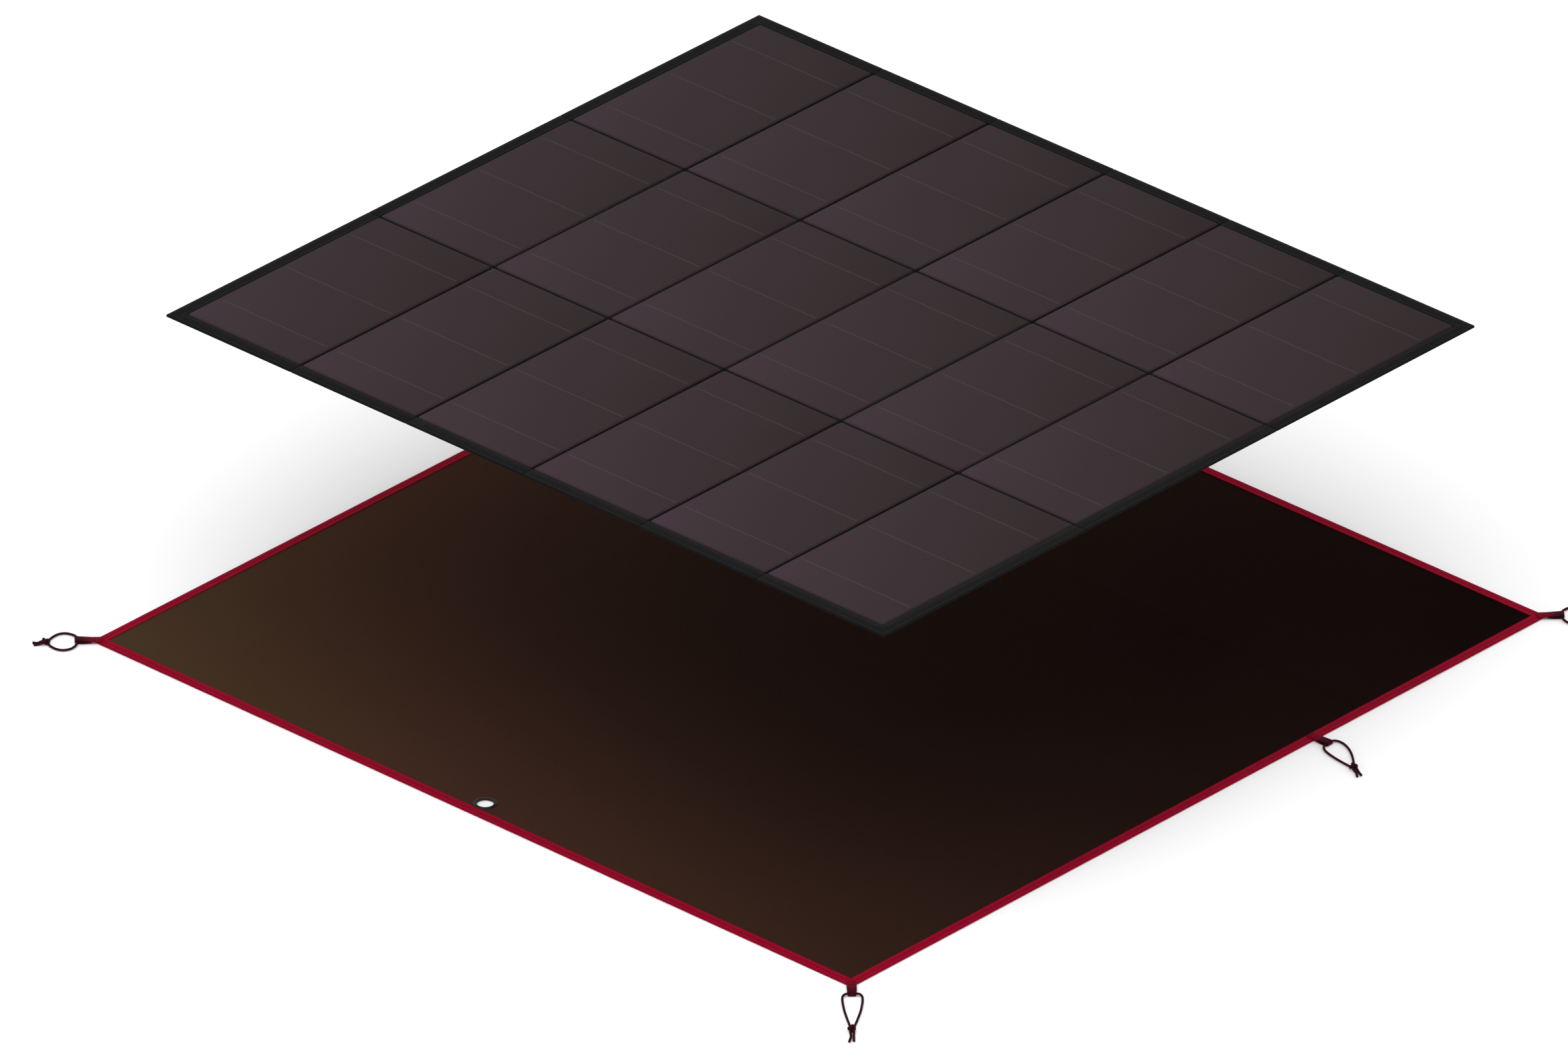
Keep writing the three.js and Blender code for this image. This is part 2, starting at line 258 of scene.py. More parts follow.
def settle(piece, name, material):
    """Names a piece, applies its place to its mesh and gives it its material."""
    only(piece)
    piece.name = name
    bpy.ops.object.transform_apply(location=True, rotation=True, scale=True)
    piece.data.materials.clear()
    piece.data.materials.append(material)
    return piece


def apply_modifier(piece, kind, **settings):
    only(piece)
    modifier = piece.modifiers.new(kind.lower(), kind)
    for key, value in settings.items():
        setattr(modifier, key, value)
    bpy.ops.object.modifier_apply(modifier=modifier.name)


def choose(piece, kind, wanted):
    """Enters Edit mode with those vertices, edges or faces of a piece selected that are wanted."""
    bpy.ops.object.mode_set(mode="EDIT")
    bpy.ops.mesh.select_mode(type=kind)
    bpy.ops.mesh.select_all(action="DESELECT")
    bpy.ops.object.mode_set(mode="OBJECT")
    parts = {"VERT": piece.data.vertices, "EDGE": piece.data.edges, "FACE": piece.data.polygons}
    for part in parts[kind]:
        part.select = wanted(part)
    bpy.ops.object.mode_set(mode="EDIT")


def ends_of(piece, edge):
    """The places of an edge's two ends."""
    return [piece.data.vertices[v].co for v in edge.vertices]


def placed_copy(piece, matrix):
    """A copy of a finished piece with a mesh of its own, moved in the mesh."""
    copy = piece.copy()
    copy.data = piece.data.copy()
    copy.data.transform(matrix)
    scene.collection.objects.link(copy)
    return copy


GROUND = "ground_sheet"
SMOOTH_ANGLE = math.radians(40)
CORD_R = 0.0018
LIE = CORD_R + 0.0001  # the height of a cord's middle where it lies on the floor
EYE_REACH = 0.024
EYE_CLEAR = 0.0005
WEB = 0.0012
EYE_Z = CORD_R + EYE_CLEAR + WEB
KNOT_R = 0.0046  # from the end of a leg to the knot's middle
LEG_END_Z = 0.0038
KNOT_HALF = Vector((0.0078, 0.0066, 0.0043))
WRAP_STEPS = 60
TAIL_STEPS = 6
LEG_STEPS = 4
SWAY_POWER = 1.5
# A loop's tail, its sway to one side, and its leg: how far out, how far aside and how high.
LOOPS = {
    "wide": (0.014, 0.003, [
        (0, 0.0084, EYE_Z),
        (0.0013, 0.013, EYE_Z - 0.0005),
        (0.0046, 0.0182, LIE + 0.0004),
        (0.010, 0.0228, LIE),
        (0.0166, 0.0254, LIE),
        (0.0236, 0.0252, LIE),
        (0.030, 0.022, LIE),
        (0.0354, 0.0168, LIE),
        (0.0396, 0.011, LIE),
        (0.0426, 0.0052, LIE + 0.0003),
    ]),
    "medium": (0.022, -0.026, [
        (0, 0.0084, EYE_Z),
        (0.0014, 0.0122, EYE_Z - 0.0005),
        (0.0056, 0.0158, LIE + 0.0004),
        (0.012, 0.0178, LIE),
        (0.020, 0.0182, LIE),
        (0.029, 0.0174, LIE),
        (0.038, 0.0156, LIE),
        (0.047, 0.013, LIE),
        (0.056, 0.0098, LIE),
        (0.064, 0.0064, LIE),
        (0.0706, 0.0034, LIE + 0.0003),
    ]),
    "narrow": (0.030, -0.004, [
        (0, 0.0084, EYE_Z),
        (0.0016, 0.012, EYE_Z - 0.0005),
        (0.006, 0.0144, LIE + 0.0004),
        (0.014, 0.0148, LIE),
        (0.024, 0.0144, LIE),
        (0.035, 0.0134, LIE),
        (0.047, 0.012, LIE),
        (0.059, 0.010, LIE),
        (0.071, 0.0078, LIE),
        (0.083, 0.0054, LIE),
        (0.092, 0.0036, LIE),
        (0.099, 0.0026, LIE + 0.0003),
    ]),
}
SIDE_TIE_Y = 0.252
sheet_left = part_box("binding_left")[0].x
sheet_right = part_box("binding_right")[1].x
sheet_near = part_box("binding_front")[0].y
sheet_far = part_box("binding_back")[1].y
TIES = {
    "front_left": ("wide", sheet_left, sheet_near, -135),
    "front_right": ("narrow", sheet_right, sheet_near, -45),
    "back_right": ("wide", sheet_right, sheet_far, 45),
    "back_left": ("narrow", sheet_left, sheet_far, 135),
    "side_right": ("medium", sheet_right, SIDE_TIE_Y, 0),
    "side_left": ("medium", sheet_left, SIDE_TIE_Y, 180),
}

STRAND_TURN = 2 * math.pi / 0.0022
MAROON_DARK = (0.016, 0.0012, 0.0035)
MAROON = (0.050, 0.006, 0.012)
braid = Finish("maroon_braid", Roughness=0.78, Specular_IOR_Level=0.05)
spot = braid.place()
x, y, z = braid.axes(spot)
plait = ((x + y + z) * STRAND_TURN).sin() * ((x - y + z) * STRAND_TURN).sin()
fleck = braid.speckle(spot, 900)
braid_color = braid.blend((plait * 0.35 + fleck * 0.65).held(), MAROON_DARK, MAROON)
braid.paint(braid_color, 0.7 + fleck * 0.2, plait * 0.5 + 0.5, relief=0.0003)


def frame_of_tie(name):
    """From a tie's own place, +X out from the sheet, to the row frame."""
    _, edge_x, edge_y, turn = TIES[name]
    return Matrix.Translation((edge_x, edge_y, 0)) @ Matrix.Rotation(math.radians(turn), 4, "Z")


def smooth_path(points, steps):
    """Points on a centripetal curve through the given ones."""
    spots = [points[0] * 2 - points[1], *points, points[-1] * 2 - points[-2]]
    path = []
    for a, b, c, d in zip(spots, spots[1:], spots[2:], spots[3:]):
        t1 = math.sqrt((b - a).length)
        t2 = t1 + math.sqrt((c - b).length)
        t3 = t2 + math.sqrt((d - c).length)
        for i in range(steps):
            t = t1 + (t2 - t1) * i / steps
            ab = a.lerp(b, t / t1)
            bc = b.lerp(c, (t - t1) / (t2 - t1))
            cd = c.lerp(d, (t - t2) / (t3 - t2))
            path.append(ab.lerp(bc, t / t2).lerp(bc.lerp(cd, (t - t1) / (t3 - t1)), (t - t1) / (t2 - t1)))
    return [*path, points[-1]]


def cord_curve(name, paths, radius, cyclic=()):
    """A curve object with one round bevelled spline to each path."""
    data = bpy.data.curves.new(name, "CURVE")
    data.dimensions = "3D"
    data.bevel_depth = radius
    data.bevel_resolution = 4
    data.use_fill_caps = True
    for number, path in enumerate(paths):
        spline = data.splines.new("POLY")
        spline.points.add(len(path) - 1)
        for point, spot_on_path in zip(spline.points, path):
            point.co = (*spot_on_path, 1)
        spline.use_cyclic_u = number in cyclic
        spline.use_smooth = True
    made = bpy.data.objects.new(name, data)
    scene.collection.objects.link(made)
    data.materials.append(braid.material)
    return made


def length_of(path):
    return sum((b - a).length for a, b in zip(path, path[1:]))


def sway_at(kind, out):
    """How far a loop has swayed to one side, this far out from its eye."""
    _, sway, leg = LOOPS[kind]
    return sway * (out / leg[-1][0]) ** SWAY_POWER


def knot_of(name):
    """The overhand knot, a trefoil curve pressed flat, and its two tails, as one mesh."""
    kind = TIES[name][0]
    tail, sway, leg = LOOPS[kind]
    reach = leg[-1][0]
    turn = math.atan(SWAY_POWER * sway / reach)
    middle = Vector((EYE_REACH + reach + KNOT_R, sway_at(kind, reach + KNOT_R), KNOT_HALF.z))
    to_knot = frame_of_tie(name) @ Matrix.Translation(middle) @ Matrix.Rotation(turn, 4, "Z")
    half = KNOT_HALF - Vector((1, 1, 1)) * CORD_R
    wraps = []
    for i in range(WRAP_STEPS):
        t = 2 * math.pi * i / WRAP_STEPS
        wraps.append(Vector((
            (math.sin(t) + 2 * math.sin(2 * t)) / 3 * half.x,
            (math.cos(t) - 2 * math.cos(2 * t)) / 2.7 * half.y,
            -math.sin(3 * t) * half.z,
        )))
    floor_height = LIE - KNOT_HALF.z
    tails = []
    for side in (1, -1):
        ends = [
            Vector((0, side * CORD_R * 0.6, 0)),
            Vector((KNOT_R + 0.001, side * CORD_R * 1.4, floor_height * 0.4)),
            Vector((KNOT_R + tail * 0.45, side * CORD_R * 1.15 + 0.0008, floor_height)),
            Vector((KNOT_R + tail * (0.93 if side > 0 else 1), side * CORD_R * 1.9, floor_height)),
        ]
        tails.append(smooth_path(ends, TAIL_STEPS))
    knot = cord_curve("knot_" + name, [wraps, *tails], CORD_R * 1.05, cyclic=(0,))
    only(knot)
    bpy.ops.object.convert(target="MESH")
    knot = bpy.context.object
    knot.data.transform(to_knot)
    return knot


for tie_name, (kind, _, _, _) in TIES.items():
    knot = knot_of(tie_name)
    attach(knot, GROUND)
    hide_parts("tie_loop_" + tie_name)
    leg = LOOPS[kind][2]
    to_knot = leg[-1][0] + KNOT_R
    for side, hand in ((1, "a"), (-1, "b")):
        points = [Vector((EYE_REACH, 0, EYE_Z))]
        for out, aside, height in leg:
            points.append(Vector((EYE_REACH + out, side * aside + sway_at(kind, out), height)))
        points.append(Vector((EYE_REACH + to_knot, sway_at(kind, to_knot), LEG_END_Z)))
        route = [frame_of_tie(tie_name) @ p for p in smooth_path(points, LEG_STEPS)]
        strand = cord_curve("tie_leg_" + hand + "_" + tie_name, [route], CORD_R)
        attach(strand, GROUND)
        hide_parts("tie_loop_" + tie_name)
        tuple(route[0])
        round(length_of(route), 4)

# ---------------------------------------------------------------------------------------------
# Ground-sheet cloth: one piece of coated plain-weave polyester, dark brown, with painted shade that
# darkens it to nearly black across the sheet, shallow creases where it was folded away and a punched eyelet
# hole.
THREAD = 0.0011
CLOTH_CELLS = 150
SWELL_HEIGHT = 0.0011
CREASES = 4
CREASE_HEIGHT = 0.0016
CREASE_WIDTH = 0.011
DOWNWARD_CREASE = -0.35
DEEPEST = -0.0004
CLOTH_THICKNESS = 0.0008
TAPE_GRIP = 0.017
LIMP_MARGIN = 0.05
HOLE_INSET = 0.0044
PUNCH_DEPTH = 0.02
cloth_low, cloth_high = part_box("ground_sheet_cloth")
cloth_size = cloth_high - cloth_low
eyelet_low, eyelet_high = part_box("eyelet_barrel")
eyelet_middle = (eyelet_low + eyelet_high) / 2
eyelet_reach = (eyelet_high.x - eyelet_low.x) / 2


def lies(x, y):
    """How far the cloth stands above its flat place: low swells and crossing creases."""
    inset = min(x - cloth_low.x, cloth_high.x - x, y - cloth_low.y, cloth_high.y - y)
    to_eyelet = math.hypot(x - eyelet_middle.x, y - eyelet_middle.y) - eyelet_reach
    free = min(1, max(0, min(inset - TAPE_GRIP, to_eyelet) / LIMP_MARGIN))
    free = free * free * (3 - 2 * free)
    broad = noise.noise(Vector((x * 3.1, y * 2.7, 0.4)))
    fine = noise.noise(Vector((x * 8.3, y * 7.1, 4.2)))
    height = SWELL_HEIGHT * (broad + 0.5 * fine)
    for along, across, size, low in ((x, y, cloth_size.x, cloth_low.x), (y, x, cloth_size.y, cloth_low.y)):
        place = (along - low) / size * CREASES
        number = round(place)
        if 0 < number < CREASES:
            off = abs(place - number) * size / CREASES
            way = 1 if number % 2 else DOWNWARD_CREASE
            wander = 0.8 + 0.3 * noise.noise(Vector((across * 5, number * 3.7, 1.3)))
            height += way * wander * CREASE_HEIGHT * math.exp(-off / CREASE_WIDTH)
    return free * max(height, DEEPEST)


canvas = Finish("brown_canvas", Roughness=0.82, Specular_IOR_Level=0.01)
spot = canvas.place()
x, y, _ = canvas.axes(spot)
# Painted shade: across_sheet runs along the camera's left-to-right axis, and the ramp below paints the cloth
# brown on the left, darkening to nearly black on the right.
across_sheet = ((x * RIGHT.x + y * RIGHT.y) / (cloth_size.x * 1.41) + 0.5).held()
weave = (x * (math.pi / THREAD)).sin() * (y * (math.pi / THREAD)).sin()
slub = canvas.speckle(spot, 420, 3)
cloud = canvas.speckle(spot, 5, 4, 0.6)
cloth_color_and_shade = canvas.node("ShaderNodeValToRGB", {"stops": [
    (0.0, (0.0500, 0.0300, 0.0155)),
    (0.12, (0.0470, 0.0235, 0.0125)),
    (0.26, (0.0420, 0.0185, 0.0118)),
    (0.40, (0.0330, 0.0150, 0.0095)),
    (0.55, (0.0240, 0.0105, 0.0068)),
    (0.75, (0.0105, 0.0042, 0.0033)),
    (0.95, (0.0040, 0.0010, 0.0009)),
]}, across_sheet + cloud * 0.06 - 0.03)
worn_and_shaded = canvas.blend((weave * 0.2 + slub * 0.5).held(), cloth_color_and_shade, (0.030, 0.018, 0.014))
shade = canvas.blend(0.16, cloth_color_and_shade, worn_and_shaded)
canvas.paint(shade, 0.74 + slub * 0.16, weave * 0.4 + slub * 0.6, relief=0.00025)

bpy.ops.mesh.primitive_grid_add(x_subdivisions=CLOTH_CELLS, y_subdivisions=CLOTH_CELLS, size=1)
cloth = bpy.context.object
cloth.scale = (cloth_size.x, cloth_size.y, 1)
cloth.location = ((cloth_low.x + cloth_high.x) / 2, (cloth_low.y + cloth_high.y) / 2, 0)
settle(cloth, "ground_sheet", canvas.material)
for vertex in cloth.data.vertices:
    vertex.co.z = (cloth_low.z + cloth_high.z) / 2 + lies(vertex.co.x, vertex.co.y)
apply_modifier(cloth, "SOLIDIFY", thickness=CLOTH_THICKNESS, offset=0)
bpy.ops.mesh.primitive_cylinder_add(
    vertices=48, radius=eyelet_reach - HOLE_INSET, depth=PUNCH_DEPTH,
    location=(eyelet_middle.x, eyelet_middle.y, 0),
)
punch = bpy.context.object
apply_modifier(cloth, "BOOLEAN", operation="DIFFERENCE", object=punch, solver="EXACT")
bpy.data.objects.remove(punch)
only(cloth)
bpy.ops.object.shade_smooth_by_angle(angle=SMOOTH_ANGLE)
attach(cloth, GROUND)
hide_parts("ground_sheet_cloth")

# ---------------------------------------------------------------------------------------------
# Binding: crimson woven tape folded over each raw edge and sewn through with two rows of
# lockstitch, its ends turned to a mitre at the corners. The stitching draws it in a little.
TAPE_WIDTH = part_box("binding_front")[1].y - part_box("binding_front")[0].y
TAPE_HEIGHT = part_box("binding_front")[1].z
TAPE_THICKNESS = 0.0007
RIB = 0.0016
STITCH = 0.0042
STITCH_SHARE = 0.72
STITCH_WIDTH = 0.0011
TAPE_ROWS = (0.0032, 0.0126)
PUCKER = 0.00022
FOLD_ROUNDING = 0.49  # of the fold's height, and a half would make it one full round
FOLD_STEPS = 5
TAPE_STEPS = 100
MITRE_GAP = 0.00025
CRIMSON_DARK = (0.165, 0.0, 0.0095)
CRIMSON = (0.275, 0.0005, 0.0175)
THREAD_RED = (0.370, 0.008, 0.038)


def stitched_rows(along, inward, places):
    """1 on the stitches of two rows, at these distances in from the edge."""
    on_stitch = (along / STITCH).fract() < STITCH_SHARE
    outer, inner = (abs(inward - place) < STITCH_WIDTH / 2 for place in places)
    return outer.largest(inner) * on_stitch


def tape_finish(name, edge_distance, along):
    """Faded crimson weave whose ribs and stitches follow one pair of the sheet's edges."""
    tape = Finish(name, Roughness=0.6, Specular_IOR_Level=0.02)
    spot = tape.place()
    x, y, _ = tape.axes(spot)
    inward, run = edge_distance(x, y), along(x, y)
    ribs = (run * (2 * math.pi / RIB)).sin() * (inward * (2 * math.pi / (RIB * 0.8))).sin()
    fleck = tape.speckle(spot, 600, 3)
    faded = tape.speckle(spot, 7, 3)
    share = (ribs * 0.15 + fleck * 0.45 + faded * 0.4).held()
    color = tape.blend(share, CRIMSON_DARK, CRIMSON)
    stitches = stitched_rows(run, inward, TAPE_ROWS)
    color = tape.blend(stitches, color, THREAD_RED)
    tape.paint(color, 0.55 + fleck * 0.25, ribs * 0.3 + fleck * 0.2 + stitches * 0.9, relief=0.00035)
    return tape.material


half_width = (sheet_right - sheet_left) / 2
half_depth = (sheet_far - sheet_near) / 2
tape_for = {
    "x": tape_finish("crimson_tape_x", lambda x, y: half_depth - abs(y), lambda x, y: x),
    "y": tape_finish("crimson_tape_y", lambda x, y: half_width - abs(x), lambda x, y: y),
}


def binding(name, length, turn, edge_middle, material):
    """A tape folded in a U over one edge, made along X with its fold on y = 0, then turned."""
    bpy.ops.mesh.primitive_cube_add(size=1)
    tape = bpy.context.object
    tape.scale = (length, TAPE_WIDTH - TAPE_THICKNESS / 2, TAPE_HEIGHT - TAPE_THICKNESS)
    tape.location = (0, (TAPE_WIDTH + TAPE_THICKNESS / 2) / 2, TAPE_HEIGHT / 2)
    settle(tape, name, material)

    def runs_along(edge):
        a, b = ends_of(tape, edge)
        return abs(a.x - b.x) > length / 2

    def at_fold(edge):
        return runs_along(edge) and max(end.y for end in ends_of(tape, edge)) < TAPE_WIDTH / 2

    choose(tape, "FACE", lambda face: face.normal.y > 0.5 or abs(face.normal.x) > 0.5)
    bpy.ops.mesh.delete(type="FACE")
    choose(tape, "EDGE", at_fold)
    bpy.ops.mesh.bevel(offset=(TAPE_HEIGHT - TAPE_THICKNESS) * FOLD_ROUNDING, segments=FOLD_STEPS)
    choose(tape, "EDGE", runs_along)
    bpy.ops.mesh.subdivide(number_cuts=TAPE_STEPS)
    bpy.ops.mesh.subdivide(number_cuts=2)
    bpy.ops.object.mode_set(mode="OBJECT")
    for vertex in tape.data.vertices:
        inward = vertex.co.y
        ripple = noise.noise(Vector((vertex.co.x * 90, inward * 40, turn)))
        past_fold = min(1, max(0, inward / TAPE_HEIGHT - 1))
        side = 1 if vertex.co.z > TAPE_HEIGHT / 2 else -0.3
        vertex.co.z += side * past_fold * PUCKER * (ripple - 0.4)
        vertex.co.y += PUCKER * 0.8 * noise.noise(Vector((vertex.co.x * 30, 2.2, turn)))
        vertex.co.x *= (length / 2 - inward - MITRE_GAP) / (length / 2)
    apply_modifier(tape, "SOLIDIFY", thickness=TAPE_THICKNESS, offset=0)
    bpy.ops.object.shade_smooth_by_angle(angle=math.radians(50))
    tape.data.transform(Matrix.Translation(edge_middle) @ Matrix.Rotation(math.radians(turn), 4, "Z"))
    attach(tape, GROUND)
    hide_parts(name.replace("tape", "binding"))
    return tape


tapes = [
    binding("tape_front", 2 * half_width, 0, (0, sheet_near, 0), tape_for["x"]),
    binding("tape_right", 2 * half_depth, 90, (sheet_right, 0, 0), tape_for["y"]),
    binding("tape_back", 2 * half_width, 180, (0, sheet_far, 0), tape_for["x"]),
    binding("tape_left", 2 * half_depth, 270, (sheet_left, 0, 0), tape_for["y"]),
]

# ---------------------------------------------------------------------------------------------
# Webbing tabs: narrow nylon webbing folded round the cord and bar-tacked onto the binding, at
# the corners along the diagonal. The fold that carries the cord is darkened with painted shade.
WEB_LAP = 0.014
WEB_WIDTH = 0.015
WEB_GRAIN = 2 * math.pi / 0.0018
NOSE_PINCH = 0.16
WEB_ROOT_Z = TAPE_HEIGHT + 0.0003
EYE_R = CORD_R + EYE_CLEAR
FIRST_STEP = 0.0005
TACK_PLACES = (-WEB_LAP * 0.82, -WEB_LAP * 0.2, 0.0065)
TACK_SIZE = (0.0019, WEB_WIDTH * 0.82, 0.0006)
TACK_CUTS = 12
TACK_THREAD = 0.0007
TACK_RELIEF = 0.0002
TACK_SINK = -0.0004

webbing = Finish("crimson_webbing", Roughness=0.65, Specular_IOR_Level=0.04)
spot = webbing.place()
x, y, _ = webbing.axes(spot)
grain = ((x + y) * WEB_GRAIN).sin() * ((x - y) * WEB_GRAIN).sin()
fleck = webbing.speckle(spot, 700, 3)
# Painted shade: the webbing darkens from red at the sheet's edge to dark maroon at the fold round the cord.
outside = ((abs(x) - half_width).largest(abs(y) - half_depth)).rise(-0.002, 0.016)
shaded_to_fold = webbing.blend(outside, (0.190, 0.0004, 0.0125), (0.030, 0.0006, 0.005))
web_color = webbing.blend((grain * 0.2 + fleck * 0.5).held(), shaded_to_fold, (0.060, 0.001, 0.007))
webbing.paint(web_color, 0.55 + fleck * 0.25, grain * 0.5 + fleck * 0.3, relief=0.0003)


def web_path():
    """The middle of the webbing, out along the top, round the eye and back under the tab."""
    top = WEB_ROOT_Z + WEB / 2
    ring = EYE_R + WEB / 2
    eye = Vector((EYE_REACH, 0, EYE_Z))
    path = [Vector((-WEB_LAP, 0, top)), Vector((-WEB_LAP / 2, 0, top)), Vector((0.0005, 0, top))]
    for degrees in range(100, -101, -20):
        turn = math.radians(degrees)
        path.append(eye + Vector((math.cos(turn) * ring, 0, math.sin(turn) * ring)))
    path.append(Vector((EYE_REACH - 0.011, 0, WEB / 2 + 0.0007)))
    path.append(Vector((0.0014, 0, WEB_ROOT_Z - WEB * 0.62)))
    return path


path = web_path()
bpy.ops.mesh.primitive_plane_add(size=1)
web = bpy.context.object
web.scale = (2 * FIRST_STEP, WEB_WIDTH, 1)
web.location = path[0]
settle(web, "webbing", webbing.material)
for vertex in web.data.vertices:
    vertex.co.x = max(vertex.co.x, path[0].x)
choose(web, "EDGE", lambda edge: all(end.x > path[0].x for end in ends_of(web, edge)))
for a, b in zip([path[0] + Vector((FIRST_STEP, 0, 0)), *path[1:]], path[1:]):
    bpy.ops.mesh.extrude_region_move(TRANSFORM_OT_translate={"value": b - a})
bpy.ops.mesh.select_all(action="SELECT")
bpy.ops.mesh.remove_doubles(threshold=0.00005)
bpy.ops.mesh.normals_make_consistent(inside=False)
bpy.ops.object.mode_set(mode="OBJECT")
for vertex in web.data.vertices:
    vertex.co.y *= 1 - NOSE_PINCH * max(0, vertex.co.x / EYE_REACH) ** 2
apply_modifier(web, "SOLIDIFY", thickness=WEB * 0.9, offset=0)
apply_modifier(web, "BEVEL", width=0.00025, segments=2, limit_method="ANGLE")

tack_rows = []
for place in TACK_PLACES:
    bpy.ops.mesh.primitive_cube_add(size=1)
    tack = bpy.context.object
    tack_z = WEB_ROOT_Z + WEB + (0 if place < 0 else TACK_SINK)
    tack.scale = TACK_SIZE
    tack.location = (place, 0, tack_z)
    settle(tack, "bar_tack", webbing.material)
    bpy.ops.object.mode_set(mode="EDIT")
    bpy.ops.mesh.select_all(action="SELECT")
    bpy.ops.mesh.subdivide(number_cuts=TACK_CUTS)
    bpy.ops.object.mode_set(mode="OBJECT")
    for vertex in tack.data.vertices:
        if vertex.co.z > tack_z:
            vertex.co.z += TACK_RELIEF * math.cos(vertex.co.y / TACK_THREAD * math.pi)
    apply_modifier(tack, "BEVEL", width=0.0001, segments=1, limit_method="ANGLE")
    tack_rows.append(tack)
only(web)
for tack in tack_rows:
    tack.select_set(True)
bpy.ops.object.join()
only(web)
bpy.ops.object.shade_smooth_by_angle(angle=SMOOTH_ANGLE)
for tie_name in TIES:
    tab = placed_copy(web, frame_of_tie(tie_name))
    tab.name = "webbing_tab_" + tie_name
    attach(tab, GROUND)
    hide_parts("tab_" + tie_name)
bpy.data.objects.remove(web)

# ---------------------------------------------------------------------------------------------
# Eyelet: a pressed brass ring, black lacquered, its barrel passed up through the punched cloth
# and rolled over. The washer under the cloth is clenched by the barrel's lower lip.
lacquer = Finish("black_lacquer", Metallic=0.2, Roughness=0.4, Specular_IOR_Level=0.2)
scuff = lacquer.speckle(lacquer.place(), 260, 4, 0.6)
rim_wear = scuff.rise(0.62, 0.74) * 0.35
lacquer_color = lacquer.blend(rim_wear, (0.008, 0.008, 0.009), (0.060, 0.050, 0.040))
lacquer.paint(lacquer_color, 0.3 + scuff * 0.3, scuff, relief=0.00008)

RING_METAL = 0.0006
FLANGE = 0.0055
# The ring's section above and below the barrel: its radius for the barrel's, and its rise.
TOP_ROLL = ((1.04, 0.0004), (1.22, 0.0003), (1.37, -0.0006), (1.40, -0.0011))
LOWER_LIP = ((1.03, 0.0001), (1.10, -0.0002))
bore = eyelet_reach - FLANGE
bpy.ops.mesh.primitive_cylinder_add(
    vertices=64, radius=bore + 0.0004, depth=eyelet_high.z - eyelet_low.z - RING_METAL,
    location=(eyelet_middle.x, eyelet_middle.y, eyelet_middle.z + 0.0001), end_fill_type="NOTHING",
)
ring = bpy.context.object
settle(ring, "eyelet_ring", lacquer.material)
scene.tool_settings.transform_pivot_point = "BOUNDING_BOX_CENTER"
for up, widths in ((1, TOP_ROLL), (-1, LOWER_LIP)):
    level = max(v.co.z * up for v in ring.data.vertices) - 0.00001
    choose(ring, "EDGE", lambda edge: all(end.z * up > level for end in ends_of(ring, edge)))
    was = 1.0
    lifted = 0.0
    for width, lift in widths:
        bpy.ops.mesh.extrude_region_move(TRANSFORM_OT_translate={"value": (0, 0, (lift - lifted) * up)})
        bpy.ops.transform.resize(value=(width / was, width / was, 1))
        was = width
        lifted = lift
    bpy.ops.object.mode_set(mode="OBJECT")
bpy.ops.object.mode_set(mode="EDIT")
bpy.ops.mesh.select_all(action="SELECT")
bpy.ops.mesh.normals_make_consistent(inside=False)
bpy.ops.object.mode_set(mode="OBJECT")
apply_modifier(ring, "SOLIDIFY", thickness=RING_METAL, offset=0)
apply_modifier(ring, "SUBSURF", levels=1, render_levels=1)
bpy.ops.object.shade_smooth_by_angle(angle=math.radians(50))
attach(ring, GROUND)
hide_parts("eyelet_barrel")


SOFTENED_ANGLE = math.radians(35)


def softened(node, name, material, width):
    """A copy of a CAD solid with its doubles merged and its edges rounded."""
    only(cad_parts[node])
    bpy.ops.object.duplicate()
    piece = bpy.context.object
    for key in [k for k in piece.keys() if k.startswith("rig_")]:
        del piece[key]
    world = piece.matrix_world.copy()
    piece.parent = None
    piece.matrix_world = world
    settle(piece, name, material)
    bpy.ops.object.mode_set(mode="EDIT")
    bpy.ops.mesh.select_all(action="SELECT")
    bpy.ops.mesh.remove_doubles(threshold=0.00002)
    bpy.ops.mesh.dissolve_limited(angle_limit=math.radians(1))
    bpy.ops.object.mode_set(mode="OBJECT")
    apply_modifier(
        piece, "BEVEL", width=width, segments=2, limit_method="ANGLE", angle_limit=SOFTENED_ANGLE
    )
    bpy.ops.object.mode_set(mode="EDIT")
    bpy.ops.mesh.select_all(action="SELECT")
    bpy.ops.mesh.remove_doubles(threshold=0.000005)
    bpy.ops.mesh.dissolve_degenerate(threshold=0.000005)
    bpy.ops.object.mode_set(mode="OBJECT")
    bpy.ops.object.shade_smooth_by_angle(angle=SMOOTH_ANGLE)
    return piece


washer = softened("eyelet_washer", "clenched_washer", lacquer.material, 0.00012)
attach(washer, GROUND)
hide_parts("eyelet_washer")

# ---------------------------------------------------------------------------------------------
# Carrier: black coated nylon in eighteen sections. The outer sections are hemmed: the cloth is
# turned over a stiffening tape and sewn down with two rows of black lockstitch.
PITCH_X = 0.234
PITCH_Y = 0.417
ROWS = 6
COLUMNS = ("near", "mid", "far")
array_low_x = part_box("carrier_mid_1")[0].x
array_high_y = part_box("carrier_far_1")[1].y
HEM = 0.020
HEM_ROWS = (0.0035, HEM - 0.0025)
GROOVE_HALF = 0.0012
WEFT = 0.0009
CARRIER_CELL = 0.04
CARRIER_ROUNDING = 0.0007

